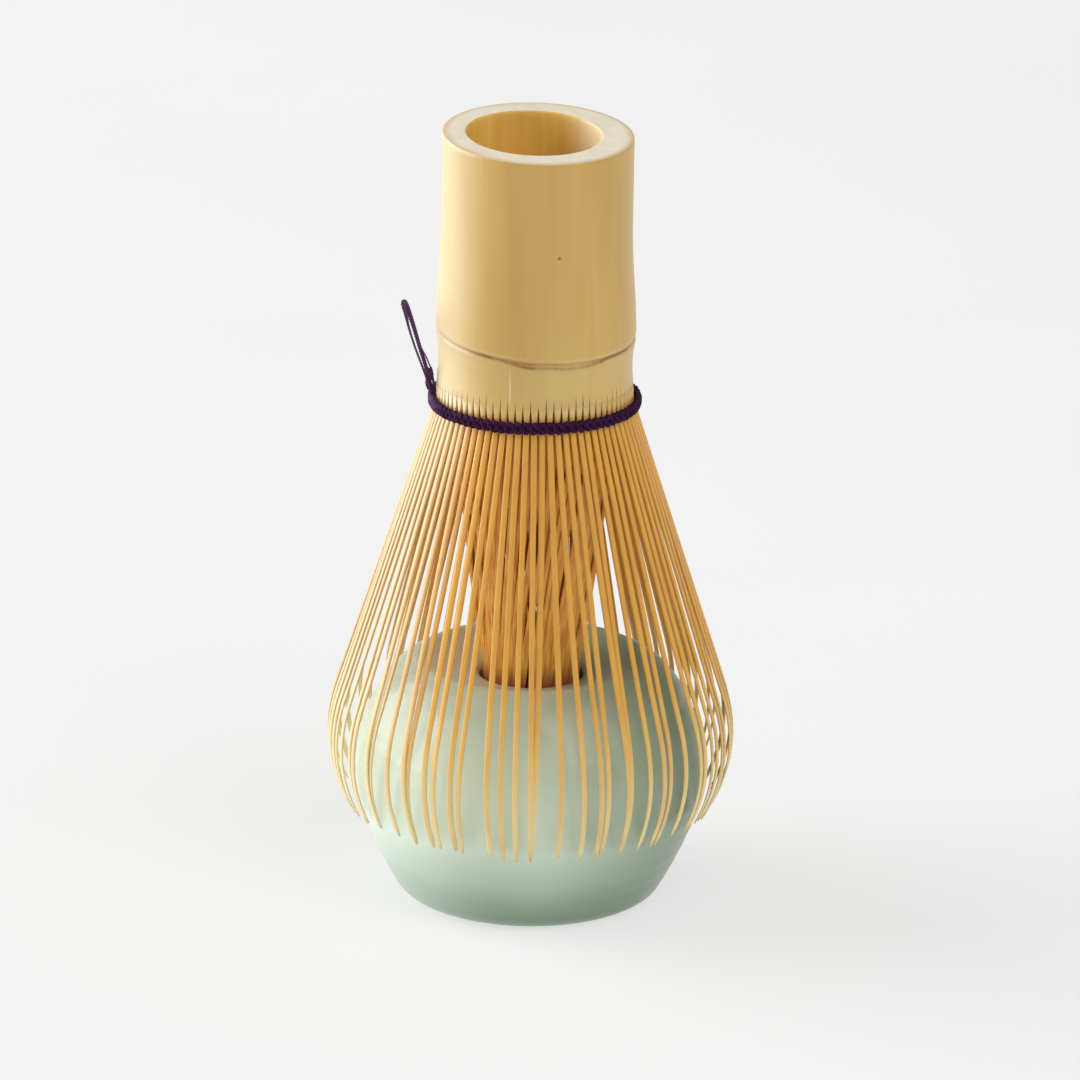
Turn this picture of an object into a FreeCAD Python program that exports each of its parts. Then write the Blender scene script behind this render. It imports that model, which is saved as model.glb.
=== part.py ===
"""Bamboo tea whisk on its glazed whisk holder, in millimetres.

The row frame has +Z up and its origin at the middle of the holder's foot, on the table.  The whisk stands on
the holder with its tines down: the inner tines go through the holder's mouth and the outer tines hang over its
crown, so the whisk's handle points up.  Radii are measured from the Z axis and heights from the table.
"""

import FreeCAD, Part
import math
import os
import Sketcher

# Every size is a cell of the sheet, under this name.
SIZES = {
    # handle: a length of culm with one node in it, sawn a little off square
    "blank_top": 119.0,
    "saw_front": -16.0,
    "saw_back": 16.0,
    "saw_front_height": 115.93,
    "saw_back_height": 118.07,
    "saw_turn": 24.2,
    "handle_radius": 14.05,
    "handle_flare_height": 104.0,
    "handle_swell_height": 88.6,
    "handle_swell_radius": 14.75,
    "handle_swell_arc": 105.0,
    "crease_height": 87.3,
    "crease_radius": 14.5,
    "scar_height": 86.5,
    "scar_radius": 14.95,
    "scar_arc": 0.75,
    "shelf_height": 85.4,
    "shelf_radius": 14.55,
    "waist_height": 82.0,
    "waist_radius": 14.3,
    "split_height": 79.3,
    "crown_radius": 14.45,
    "bore_radius": 9.85,
    "bore_centre": -0.6,
    "septum_top": 88.0,
    "septum_bottom": 85.4,
    "crown_bore_radius": 12.4,
    "rim_chamfer": 0.3,
    # tines: the culm's wall below the handle, split into outer and inner ones
    "tines_per_section": 5,
    "tine_pitch": 4.5,
    "tine_width": 0.9,
    "thread_height": 76.5,
    "flare_end_height": 32.0,
    "belly_height": 24.8,
    "tip_height": 13.2,
    "belly_arc": 23.0,
    "curl_arc": 19.0,
    "outer_root_radius": 14.4,
    "outer_thread_radius": 14.62,
    "outer_flare_radius": 29.35,
    "outer_belly_radius": 30.6,
    "outer_tip_radius": 26.65,
    "outer_root_back": 13.4,
    "outer_thread_back": 13.62,
    "outer_flare_back": 28.9,
    "outer_belly_back": 30.2,
    "outer_tip_back": 26.4,
    "inner_tine_width": 0.45,
    "inner_neck_height": 36.0,
    "inner_tip_height": 26.0,
    "inner_root_radius": 13.2,
    "inner_thread_radius": 12.3,
    "inner_neck_radius": 7.3,
    "inner_tip_radius": 6.7,
    "inner_root_back": 12.6,
    "inner_thread_back": 11.75,
    "inner_neck_back": 6.85,
    "inner_tip_back": 6.3,
    # binding thread: two rows outside the outer tines, one between them and the inner tines
    "thread_radius": 0.5,
    "upper_row_radius": 15.15,
    "upper_row_height": 77.1,
    "lower_row_radius": 15.32,
    "lower_row_height": 76.05,
    "inner_row_radius": 12.96,
    "inner_row_height": 76.6,
    "knot_thickness": 0.72,
    "knot_width": 0.9,
    "knot_length": 1.6,
    "knot_distance": 15.42,
    "knot_height": 79.3,
    "knot_lean": 8.0,
    "tail_radius": 0.21,
    # holder: one thrown and glazed pot with a dished crown
    "foot_radius": 17.5,
    "foot_edge_height": 2.4,
    "foot_edge_radius": 20.3,
    "foot_edge_arc": 4.2,
    "flank_height": 13.6,
    "flank_radius": 25.45,
    "flank_arc": 75.0,
    "girth_height": 18.8,
    "girth_radius": 26.05,
    "girth_arc": 21.0,
    "shoulder_height": 30.2,
    "shoulder_radius": 23.15,
    "shoulder_arc": 21.0,
    "crest_height": 36.4,
    "crest_radius": 17.0,
    "crest_arc": 11.5,
    "crest_inner_radius": 15.2,
    "crest_inner_arc": 3.0,
    "crest_inner_height": 36.15,
    "throat_height": 34.2,
    "throat_radius": 8.4,
    "throat_arc": 1.0,
    "mouth_radius": 7.6,
    "mouth_height": 33.5,
    "mouth_bottom": 31.2,
    "roof_radius": 16.6,
    "roof_height": 33.0,
    "wall_shoulder_radius": 21.4,
    "wall_shoulder_height": 27.6,
    "wall_shoulder_arc": 16.0,
    "wall_girth_radius": 22.9,
    "wall_girth_height": 18.8,
    "wall_girth_arc": 26.0,
    "wall_flank_radius": 22.2,
    "wall_flank_height": 13.6,
    "wall_flank_arc": 20.0,
    "floor_radius": 16.6,
    "floor_height": 4.0,
    "foot_ring_inner": 14.4,
    "foot_recess": 1.1,
}

SECTIONS = 16  # the culm is first split into this many sections
SECTION_ANGLE = 360.0 / SECTIONS
CORNER_SHARE = 0.45  # the share of the shorter run beside a corner that its rounding takes
TAIL_AZIMUTH = 184.0  # degrees about Z, where the binding thread is knotted
# The loop of thread left standing at the knot, as (distance from the axis, sideways, height).  It leans out and
# towards the front, folds at its top and comes back down into the knot.
TAIL_ROUTE = [
    (15.20, -0.10, 77.80),
    (15.95, 0.20, 81.10),
    (17.05, 0.75, 84.60),
    (18.12, 1.30, 88.40),
    (18.85, 1.70, 90.60),
    (19.42, 1.85, 92.15),
    (19.72, 2.95, 92.10),
    (19.32, 2.80, 90.60),
    (18.85, 2.10, 88.30),
    (17.75, 1.40, 84.70),
    (16.45, 0.85, 81.20),
    (15.40, 0.45, 78.00),
]


def make_sheet(doc):
    """The driving dimensions, one row each: a name, and its value under that alias."""
    sheet = doc.addObject("Spreadsheet::Sheet", "Sizes")
    for row, (name, value) in enumerate(SIZES.items(), start=1):
        sheet.set(f"A{row}", name)
        sheet.set(f"B{row}", str(value))
        sheet.setAlias(f"B{row}", name)
    doc.recompute()


def origin_feature(body, role):
    """One of a body's own origin planes or axes."""
    return next(f for f in body.Origin.OriginFeatures if f.Role == role)


def make_body(doc, label):
    """An empty body.  A row of tines is several solids, so bodies may hold more than one."""
    body = doc.addObject("PartDesign::Body", label)
    body.Label = label
    body.AllowCompound = True
    return body


def arc_middle(start, end, radius):
    """The middle point of the arc from start to end.  A positive radius bulges to the left of that way."""
    chord = end - start
    half = chord.Length / 2
    rise = abs(radius) - math.sqrt(radius * radius - half * half)
    left = FreeCAD.Vector(-chord.y, chord.x, 0).normalize()
    return (start + end) / 2 + left * math.copysign(rise, radius)


def draw_section(body, name, corners, plane="XZ_Plane"):
    """A closed outline in an upright plane, fixed by the sheet.

    corners holds (radius cell, height cell, arc cell, side) in order.  A cell of None lies on the axis or on the
    table.  The arc cell and its side, +1 or -1, shape the edge that leaves the corner; None makes it straight.
    """
    sketch = body.newObject("Sketcher::SketchObject", name)
    sketch.AttachmentSupport = [(origin_feature(body, plane), "")]
    sketch.MapMode = "FlatFace"
    points = [FreeCAD.Vector(SIZES.get(r, 0.0), SIZES.get(h, 0.0), 0) for r, h, _, _ in corners]
    edges = []
    for i, (_, _, arc, side) in enumerate(corners):
        start, end = points[i], points[(i + 1) % len(points)]
        if arc is None:
            edges.append(Part.LineSegment(start, end))
        else:
            edges.append(Part.Arc(start, arc_middle(start, end, side * SIZES[arc]), end))
    sketch.addGeometry(edges, False)

    def end_of(i, start):
        """The sketcher's number for an edge's start or end: an arc is stored anticlockwise."""
        arc, side = corners[i][2], corners[i][3]
        if arc is not None and side > 0:
            return 2 if start else 1
        return 1 if start else 2

    rules, cells = [], {}
    for i, (radius, height, arc, _) in enumerate(corners):
        before = (i - 1) % len(corners)
        here = (i, end_of(i, True))
        rules.append(Sketcher.Constraint("Coincident", before, end_of(before, False), *here))
        if radius is None:
            rules.append(Sketcher.Constraint("PointOnObject", *here, -2))
        else:
            cells[len(rules)] = (f"radius_{i}", radius)
            rules.append(Sketcher.Constraint("DistanceX", -1, 1, *here, SIZES[radius]))
        if height is None:
            rules.append(Sketcher.Constraint("PointOnObject", *here, -1))
        else:
            cells[len(rules)] = (f"height_{i}", height)
            rules.append(Sketcher.Constraint("DistanceY", -1, 1, *here, SIZES[height]))
        if arc is not None:
            cells[len(rules)] = (f"arc_{i}", arc)
            rules.append(Sketcher.Constraint("Radius", i, SIZES[arc]))
    sketch.addConstraint(rules)
    for number, (rule, cell) in cells.items():
        sketch.renameConstraint(number, rule)
        sketch.setExpression(f"Constraints.{rule}", f"Sizes.{cell}")
    return sketch


def revolve(body, name, corners):
    """A full turn of an outline about Z."""
    sketch = draw_section(body, name + "_section", corners)
    turned = body.newObject("PartDesign::Revolution", name)
    turned.Profile = sketch
    turned.ReferenceAxis = (sketch, ["V_Axis"])
    turned.Angle = 360.0
    return turned


def edges_near(shape, height, reach):
    """The names of a shape's edges whose middle lies within reach of that height."""
    return [f"Edge{number}" for number, edge in enumerate(shape.Edges, start=1)
            if abs(edge.CenterOfMass.z - height) < reach]


def straight(radius, height):
    """A corner that a straight edge leaves."""
    return (radius, height, None, 0)


def make_handle(doc):
    """A length of culm: swollen above its node, scarred at it, and thinned to a crown below it."""
    body = make_body(doc, "handle")
    revolve(body, "culm", [
        straight(None, "blank_top"),
        straight("handle_radius", "blank_top"),
        ("handle_radius", "handle_flare_height", "handle_swell_arc", -1),
        straight("handle_swell_radius", "handle_swell_height"),
        straight("crease_radius", "crease_height"),
        ("crease_radius", "scar_height", "scar_arc", 1),
        straight("shelf_radius", "shelf_height"),
        straight("waist_radius", "waist_height"),
        straight("crown_radius", "split_height"),
        straight("crown_bore_radius", "split_height"),
        straight("crown_bore_radius", "waist_height"),
        straight("bore_radius", "septum_bottom"),
        straight(None, "septum_bottom"),
    ])
    sawn = body.newObject("PartDesign::Pocket", "sawn_end")
    saw_line = draw_section(body, "saw_line", [
        straight("saw_front", "saw_front_height"),
        straight("saw_back", "saw_back_height"),
        straight("saw_back", "blank_top"),
        straight("saw_front", "blank_top"),
    ], "YZ_Plane")
    turn = FreeCAD.Rotation(FreeCAD.Vector(0, 1, 0), SIZES["saw_turn"])
    saw_line.AttachmentOffset = FreeCAD.Placement(FreeCAD.Vector(0, 0, 0), turn)
    saw_line.setExpression("AttachmentOffset.Rotation.Angle", "Sizes.saw_turn")
    sawn.Profile = saw_line
    sawn.Type = "ThroughAll"
    sawn.SideType = "Symmetric"
    circle = body.newObject("Sketcher::SketchObject", "bore_circle")
    circle.AttachmentSupport = [(origin_feature(body, "XY_Plane"), "")]
    circle.MapMode = "FlatFace"
    circle.setExpression("AttachmentOffset.Base.z", "Sizes.septum_top")
    centre = FreeCAD.Vector(SIZES["bore_centre"], 0, 0)
    circle.addGeometry(Part.Circle(centre, FreeCAD.Vector(0, 0, 1), SIZES["bore_radius"]))
    circle.addConstraint(Sketcher.Constraint("Radius", 0, SIZES["bore_radius"]))
    circle.addConstraint(Sketcher.Constraint("PointOnObject", 0, 3, -1))
    circle.addConstraint(Sketcher.Constraint("DistanceX", -1, 1, 0, 3, SIZES["bore_centre"]))
    circle.setExpression("Constraints[0]", "Sizes.bore_radius")
    circle.setExpression("Constraints[2]", "Sizes.bore_centre")
    bore = body.newObject("PartDesign::Pocket", "bore")
    bore.Profile = circle
    bore.Reversed = True
    bore.setExpression("Length", "Sizes.blank_top - Sizes.septum_top")
    doc.recompute()
    eased = body.newObject("PartDesign::Chamfer", "eased_rims")
    sawn_height = (SIZES["saw_front_height"] + SIZES["saw_back_height"]) / 2
    eased.Base = (bore, edges_near(bore.Shape, sawn_height, SIZES["rim_chamfer"]))
    eased.setExpression("Size", "Sizes.rim_chamfer")
    body.Tip = eased
    return body


def make_tines(doc, label, number, corners, width):
    """One section of the split culm: tines side by side, each a strip as thick as its outline and width wide."""
    body = make_body(doc, label)
    sketch = draw_section(body, label + "_profile", corners)
    strip = body.newObject("PartDesign::Pad", label + "_strip")
    strip.Profile = sketch
    strip.SideType = "Symmetric"
    strip.setExpression("Length", f"Sizes.{width}")
    doc.recompute()
    row = body.newObject("PartDesign::PolarPattern", label + "_row")
    row.Originals = [strip]
    row.Axis = (origin_feature(body, "Z_Axis"), [""])
    row.setExpression("Angle", "Sizes.tine_pitch * (Sizes.tines_per_section - 1)")
    row.setExpression("Occurrences", "Sizes.tines_per_section")
    body.Tip = row
    turn = FreeCAD.Rotation(FreeCAD.Vector(0, 0, 1), number * SECTION_ANGLE)
    body.Placement = FreeCAD.Placement(FreeCAD.Vector(0, 0, 0), turn)
    return body


def make_outer_tines(doc, number):
    """Outer tines: pinched at the thread, straight down the flare, round the belly and curled in at the tips."""
    return make_tines(doc, f"outer_tines_{number + 1:02d}", number, [
        straight("outer_root_radius", "split_height"),
        straight("outer_thread_radius", "thread_height"),
        ("outer_flare_radius", "flare_end_height", "belly_arc", 1),
        ("outer_belly_radius", "belly_height", "curl_arc", 1),
        straight("outer_tip_radius", "tip_height"),
        ("outer_tip_back", "tip_height", "curl_arc", -1),
        ("outer_belly_back", "belly_height", "belly_arc", -1),
        straight("outer_flare_back", "flare_end_height"),
        straight("outer_thread_back", "thread_height"),
        straight("outer_root_back", "split_height"),
    ], "tine_width")


def make_inner_tines(doc, number):
    """Inner tines: bent in behind the thread and gathered to a neck that goes through the holder's mouth."""
    return make_tines(doc, f"inner_tines_{number + 1:02d}", number, [
        straight("inner_root_radius", "split_height"),
        straight("inner_thread_radius", "thread_height"),
        straight("inner_neck_radius", "inner_neck_height"),
        straight("inner_tip_radius", "inner_tip_height"),
        straight("inner_tip_back", "inner_tip_height"),
        straight("inner_neck_back", "inner_neck_height"),
        straight("inner_thread_back", "thread_height"),
        straight("inner_root_back", "split_height"),
    ], "inner_tine_width")


def make_thread_row(doc, label, radius, height):
    """One turn of the binding thread about the tines."""
    ring = doc.addObject("Part::Torus", label)
    ring.Label = label
    ring.setExpression("Radius1", f"Sizes.{radius}")
    ring.setExpression("Radius2", "Sizes.thread_radius")
    ring.setExpression("Placement.Base.z", f"Sizes.{height}")
    return ring


def make_knot(doc):
    """The knot where the binding thread's two ends meet, drawn up tight on the upper row and leaning outwards."""
    knot = doc.addObject("Part::Ellipsoid", "thread_knot")
    knot.Label = "thread_knot"
    knot.setExpression("Radius1", "Sizes.knot_length")
    knot.setExpression("Radius2", "Sizes.knot_thickness")
    knot.setExpression("Radius3", "Sizes.knot_width")
    knot.Angle1 = -90
    knot.Angle2 = 90
    around = FreeCAD.Rotation(FreeCAD.Vector(0, 0, 1), TAIL_AZIMUTH)
    lean = FreeCAD.Rotation(FreeCAD.Vector(0, 1, 0), SIZES["knot_lean"])
    place = around.multVec(FreeCAD.Vector(SIZES["knot_distance"], 0, SIZES["knot_height"]))
    knot.Placement = FreeCAD.Placement(place, around.multiply(lean))
    return knot


def rounded_route(points):
    """Straight runs joined by arcs that touch them, with the least radius of the arcs."""
    edges, least = [], math.inf
    here = points[0]
    for before, corner, after in zip(points, points[1:], points[2:]):
        back, on = (before - corner), (after - corner)
        reach = CORNER_SHARE * min(back.Length, on.Length)
        half_turn = (math.pi - back.getAngle(on)) / 2
        radius = reach / math.tan(half_turn)
        least = min(least, radius)
        back.normalize()
        on.normalize()
        start, end = corner + back * reach, corner + on * reach
        middle = corner + (back + on).normalize() * (radius / math.cos(half_turn) - radius)
        edges.append(Part.LineSegment(here, start).toShape())
        edges.append(Part.Arc(start, middle, end).toShape())
        here = end
    edges.append(Part.LineSegment(here, points[-1]).toShape())
    return Part.Wire(edges), least


def make_tail(doc):
    """The thread's standing loop, a tube along its route."""
    turn = FreeCAD.Rotation(FreeCAD.Vector(0, 0, 1), TAIL_AZIMUTH)
    points = [turn.multVec(FreeCAD.Vector(*point)) for point in TAIL_ROUTE]
    path, least = rounded_route(points)
    radius = SIZES["tail_radius"]
    circle = Part.Circle(points[0], points[1] - points[0], radius)
    tube = path.makePipeShell([Part.Wire(circle.toShape())], True, True)
    ideal = math.pi * radius * radius * path.Length
    print(f"thread_tail: {path.Length:.2f} mm long, least bend {least:.2f} mm, "
          f"volume {tube.Volume / ideal:.4f} of section times length")
    tail = doc.addObject("Part::Feature", "thread_tail")
    tail.Label = "thread_tail"
    tail.Shape = tube
    return tail


def make_holder(doc):
    """One thrown pot: foot ring, flaring flank, round shoulder, and a dished crown with a mouth in it."""
    body = make_body(doc, "whisk_holder")
    body.Tip = revolve(body, "pot", [
        ("foot_radius", None, "foot_edge_arc", -1),
        ("foot_edge_radius", "foot_edge_height", "flank_arc", -1),
        ("flank_radius", "flank_height", "girth_arc", -1),
        ("girth_radius", "girth_height", "shoulder_arc", -1),
        ("shoulder_radius", "shoulder_height", "crest_arc", -1),
        ("crest_radius", "crest_height", "crest_inner_arc", -1),
        straight("crest_inner_radius", "crest_inner_height"),
        ("throat_radius", "throat_height", "throat_arc", -1),
        straight("mouth_radius", "mouth_height"),
        straight("mouth_radius", "mouth_bottom"),
        straight("roof_radius", "roof_height"),
        ("wall_shoulder_radius", "wall_shoulder_height", "wall_shoulder_arc", 1),
        ("wall_girth_radius", "wall_girth_height", "wall_girth_arc", 1),
        ("wall_flank_radius", "wall_flank_height", "wall_flank_arc", 1),
        straight("floor_radius", "floor_height"),
        straight(None, "floor_height"),
        straight(None, "foot_recess"),
        straight("foot_ring_inner", "foot_recess"),
        straight("foot_ring_inner", None),
    ])
    return body


def check(doc, parts):
    """Stops on a failed object, or on a sub-part with no shape or a bad one."""
    for thing in doc.Objects:
        if "Invalid" in thing.State or "Error" in thing.State:
            raise RuntimeError(f"{thing.Name} failed: {thing.State}")
    for part in parts:
        if part.Shape.isNull() or not part.Shape.isValid() or not part.Shape.Solids:
            raise RuntimeError(f"{part.Label} has no valid shape")


doc = FreeCAD.newDocument("tea_whisk")
make_sheet(doc)
parts = [make_holder(doc), make_handle(doc)]
parts += [make_outer_tines(doc, number) for number in range(SECTIONS)]
parts += [make_inner_tines(doc, number) for number in range(SECTIONS)]
parts.append(make_thread_row(doc, "binding_thread_upper", "upper_row_radius", "upper_row_height"))
parts.append(make_thread_row(doc, "binding_thread_lower", "lower_row_radius", "lower_row_height"))
parts.append(make_thread_row(doc, "binding_thread_inner", "inner_row_radius", "inner_row_height"))
parts.append(make_knot(doc))
parts.append(make_tail(doc))
doc.recompute()
check(doc, parts)
os.makedirs("parts", exist_ok=True)
for part in parts:
    part.Shape.exportStep(os.path.join("parts", part.Label + ".step"))
    box = part.Shape.BoundBox
    print(f"{part.Label}: {len(part.Shape.Solids)} solids, {part.Shape.Volume:.1f} mm3, "
          f"x {box.XMin:.2f} to {box.XMax:.2f}, z {box.ZMin:.2f} to {box.ZMax:.2f}")
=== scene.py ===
import math
import random

import bpy
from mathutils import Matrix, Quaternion, Vector, noise


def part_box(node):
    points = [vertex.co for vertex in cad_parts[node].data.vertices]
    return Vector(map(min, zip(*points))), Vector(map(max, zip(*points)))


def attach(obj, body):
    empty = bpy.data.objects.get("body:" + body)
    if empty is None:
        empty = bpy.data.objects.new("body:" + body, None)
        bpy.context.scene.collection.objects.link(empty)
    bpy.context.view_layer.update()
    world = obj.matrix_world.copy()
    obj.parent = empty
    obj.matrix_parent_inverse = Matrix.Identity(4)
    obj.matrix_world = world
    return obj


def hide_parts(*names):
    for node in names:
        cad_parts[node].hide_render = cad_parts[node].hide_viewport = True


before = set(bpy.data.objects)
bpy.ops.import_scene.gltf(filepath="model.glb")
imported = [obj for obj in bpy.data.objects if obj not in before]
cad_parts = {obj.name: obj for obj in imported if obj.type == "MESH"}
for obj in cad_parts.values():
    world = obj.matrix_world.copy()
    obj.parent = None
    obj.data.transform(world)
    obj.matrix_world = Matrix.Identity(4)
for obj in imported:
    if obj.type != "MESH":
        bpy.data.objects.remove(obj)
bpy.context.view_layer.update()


# --------------------------------------------------------------------------------------------------
# The view: a long lens in front of the whisk's waist, looking down on it by eighteen degrees, with the camera
# tipped by under a degree.
camera_lens = 270.0
camera_distance = 1.2
camera_rise = math.radians(18.3)
camera_tip = math.radians(0.8)
camera_aim = Vector((0.00106, 0.0, 0.05455))

camera_data = bpy.data.cameras.new("camera")
camera_data.lens = camera_lens
camera_data.clip_end = 20.0
camera = bpy.data.objects.new("camera", camera_data)
bpy.context.scene.collection.objects.link(camera)
towards_camera = Vector((0.0, -math.cos(camera_rise), math.sin(camera_rise)))
camera.location = camera_aim + camera_distance * towards_camera
camera.rotation_mode = "QUATERNION"
level = (-towards_camera).to_track_quat("-Z", "Y")
camera.rotation_quaternion = level @ Quaternion((0.0, 0.0, 1.0), camera_tip)
bpy.context.scene.camera = camera
bpy.context.scene.view_settings.view_transform = "Standard"


# --------------------------------------------------------------------------------------------------
# The standing loop of thread: the binding's two ends, left as one stiff doubled loop above the knot.  It is a
# dark purple cotton of three plies laid together, 0.42 mm thick, painted paler on the side that faces -X as
# painted light from the window there.
MM = 0.001  # a millimetre, in metres
knot_azimuth = math.radians(184.0)
loop_thickness = 0.42 * MM
loop_route = [  # distance from the axis, sideways, height
    (0.01520, -0.00010, 0.07780),
    (0.01595, 0.00020, 0.08110),
    (0.01705, 0.00075, 0.08460),
    (0.01812, 0.00130, 0.08840),
    (0.01885, 0.00170, 0.09060),
    (0.01942, 0.00185, 0.09215),
    (0.01972, 0.00295, 0.09210),
    (0.01932, 0.00280, 0.09060),
    (0.01885, 0.00210, 0.08830),
    (0.01775, 0.00140, 0.08470),
    (0.01645, 0.00085, 0.08120),
    (0.01540, 0.00045, 0.07800),
]


def turned(point, azimuth):
    """A point given as (outwards, sideways, height), with outwards at that azimuth about the whisk's axis."""
    out, side, height = point
    c, s = math.cos(azimuth), math.sin(azimuth)
    return Vector((out * c - side * s, out * s + side * c, height))


def evenly(line, step):
    """The same line with its points a step apart."""
    points, left = [line[0].copy()], step
    for a, b in zip(line, line[1:]):
        run = (b - a).length
        while run > left:
            a = a + (b - a) * (left / run)
            run -= left
            points.append(a.copy())
            left = step
        left -= run
    points.append(line[-1].copy())
    return points


def piece(name, parts, finishes, smooth=True):
    """A mesh object made of skins, each given as (rings of points, number of its finish, closed ends)."""
    points, faces, slots = [], [], []
    for rings, finish, capped in parts:
        start, count = len(points), len(rings[0])
        for ring in rings:
            points.extend(ring)
        for row in range(len(rings) - 1):
            low = start + row * count
            for k in range(count):
                on = (k + 1) % count
                faces.append((low + k, low + on, low + on + count, low + k + count))
                slots.append(finish)
        if capped:
            last = start + (len(rings) - 1) * count
            faces.append(tuple(range(start + count - 1, start - 1, -1)))
            faces.append(tuple(range(last, last + count)))
            slots.extend((finish, finish))
    mesh = bpy.data.meshes.new(name)
    mesh.from_pydata([tuple(p) for p in points], [], faces)
    for finish in finishes:
        mesh.materials.append(finish)
    mesh.polygons.foreach_set("material_index", slots)
    mesh.polygons.foreach_set("use_smooth", [smooth] * len(faces))
    made = bpy.data.objects.new(name, mesh)
    bpy.context.scene.collection.objects.link(made)
    return made


def laid_thread(line, thickness, lay=1.5 * MM, step=0.13 * MM, swell=lambda share: 1.0):
    """Rings of a thread of three twisted plies along a line; swell thickens it by the share of the way."""
    plies, groove, around = 3, 0.26, 18
    line = evenly(line, step)
    rings, side = [], None
    for i, here in enumerate(line):
        ahead = line[min(i + 1, len(line) - 1)]
        behind = line[max(i - 1, 0)]
        along = (ahead - behind).normalized()
        side = along.orthogonal() if side is None else side - along * side.dot(along)
        side.normalize()
        across = along.cross(side)
        turn = 2 * math.pi * i * step / lay
        thick = thickness * swell(i / (len(line) - 1))
        ring = []
        for k in range(around):
            angle = 2 * math.pi * k / around
            reach = thick / 2 * (1 - groove * (1 - abs(math.cos(plies * angle / 2))))
            ring.append(here + reach * (side * math.cos(angle + turn) + across * math.sin(angle + turn)))
        rings.append(ring)
    return rings


def new_finish(name):
    """A new finish: its nodes, a function that links two sockets, and its shader."""
    finish = bpy.data.materials.new(name)
    finish.use_nodes = True
    tree = finish.node_tree
    shader = next(n for n in tree.nodes if n.type == "BSDF_PRINCIPLED")
    return finish, tree.nodes, tree.links.new, shader


def mottle(nodes, link, scale, detail=2.0, stretch=(1.0, 1.0, 1.0)):
    """Noise in the piece's own space, stretched; returns its value socket."""
    place = nodes.new("ShaderNodeTexCoord")
    stretched = nodes.new("ShaderNodeMapping")
    stretched.inputs["Scale"].default_value = stretch
    cloud = nodes.new("ShaderNodeTexNoise")
    cloud.inputs["Scale"].default_value = scale
    cloud.inputs["Detail"].default_value = detail
    link(place.outputs["Object"], stretched.inputs["Vector"])
    link(stretched.outputs["Vector"], cloud.inputs["Vector"])
    return cloud.outputs["Fac"]


def ramp(nodes, link, value, stops):
    """Colours along a value."""
    made = nodes.new("ShaderNodeValToRGB")
    scale = made.color_ramp
    while len(scale.elements) < len(stops):
        scale.elements.new(0.5)
    for element, (place, colour) in zip(scale.elements, stops):
        element.position = place
        element.color = (*colour, 1.0)
    link(value, made.inputs["Fac"])
    return made.outputs["Color"]


def span(nodes, link, value, low, high, to_low=0.0, to_high=1.0):
    """A value mapped smoothly from low..high to to_low..to_high, and held there outside it."""
    made = nodes.new("ShaderNodeMapRange")
    made.interpolation_type = "SMOOTHSTEP"
    for name, number in (("From Min", low), ("From Max", high), ("To Min", to_low), ("To Max", to_high)):
        made.inputs[name].default_value = number
    link(value, made.inputs["Value"])
    return made.outputs["Result"]


def blended(nodes, link, amount, first, second, way="MIX"):
    """Two colours, each a socket or three numbers, blended by a socket or a number."""
    made = nodes.new("ShaderNodeMix")
    made.data_type = "RGBA"
    made.blend_type = way
    factor, a, b = made.inputs[0], made.inputs[6], made.inputs[7]
    for socket, value in ((factor, amount), (a, first), (b, second)):
        if isinstance(value, tuple):
            socket.default_value = (*value, 1.0)
        elif isinstance(value, (int, float)):
            socket.default_value = value
        else:
            link(value, socket)
    return made.outputs[2]


def bump(nodes, link, shader, height, distance, strength=1.0):
    """Relief of that depth in metres."""
    made = nodes.new("ShaderNodeBump")
    made.inputs["Distance"].default_value = distance
    made.inputs["Strength"].default_value = strength
    link(height, made.inputs["Height"])
    link(made.outputs["Normal"], shader.inputs["Normal"])


thread_finish, nodes, link, shader = new_finish("purple_cotton_thread")
thread_dye = [(0.3, (0.014, 0.001, 0.014)), (0.55, (0.036, 0.003, 0.034)), (0.8, (0.095, 0.018, 0.090))]
thread_colour = ramp(nodes, link, mottle(nodes, link, 2600.0, 4.0), thread_dye)
# Painted light: the thread's colour goes paler towards -X, where the window light falls.
place = nodes.new("ShaderNodeTexCoord")
apart = nodes.new("ShaderNodeSeparateXYZ")
link(place.outputs["Object"], apart.inputs["Vector"])
painted_lit_side = span(nodes, link, apart.outputs["X"], -15.6 * MM, -13.4 * MM, 0.72, 0.0)
thread_colour = blended(nodes, link, painted_lit_side, thread_colour, (0.125, 0.062, 0.150))
link(thread_colour, shader.inputs["Base Color"])
bump(nodes, link, shader, mottle(nodes, link, 9000.0, 3.0), 0.00004, 0.6)
shader.inputs["Roughness"].default_value = 0.72
shader.inputs["Specular IOR Level"].default_value = 0.15
shader.inputs["Sheen Weight"].default_value = 0.03
shader.inputs["Sheen Roughness"].default_value = 0.4
shader.inputs["Sheen Tint"].default_value = (0.70, 0.40, 0.80, 1.0)

loop_curve = bpy.data.curves.new("loop_line", "CURVE")
loop_curve.dimensions = "3D"
loop_curve.resolution_u = 24
spline = loop_curve.splines.new("NURBS")
spline.points.add(len(loop_route) - 1)
for knot_point, place in zip(spline.points, loop_route):
    knot_point.co = (*turned(place, knot_azimuth), 1.0)
spline.order_u = 3
spline.use_endpoint_u = True
loop_line_object = bpy.data.objects.new("loop_line", loop_curve)
bpy.context.scene.collection.objects.link(loop_line_object)
bpy.context.view_layer.update()
loop_mesh = bpy.data.meshes.new_from_object(loop_line_object)
loop_line = [v.co.copy() for v in loop_mesh.vertices]
bpy.data.objects.remove(loop_line_object)
bpy.data.meshes.remove(loop_mesh)


def loop_swell(share):
    """The loop goes up as two strands laid together and comes back as one, and it is fullest at its tip."""
    doubled = 1.0 - min(1.0, max(0.0, (share - 0.44) / 0.16))
    at_tip = math.exp(-((share - 0.50) / 0.12) ** 2)
    return 0.85 + 0.70 * doubled + 0.65 * at_tip


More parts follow.
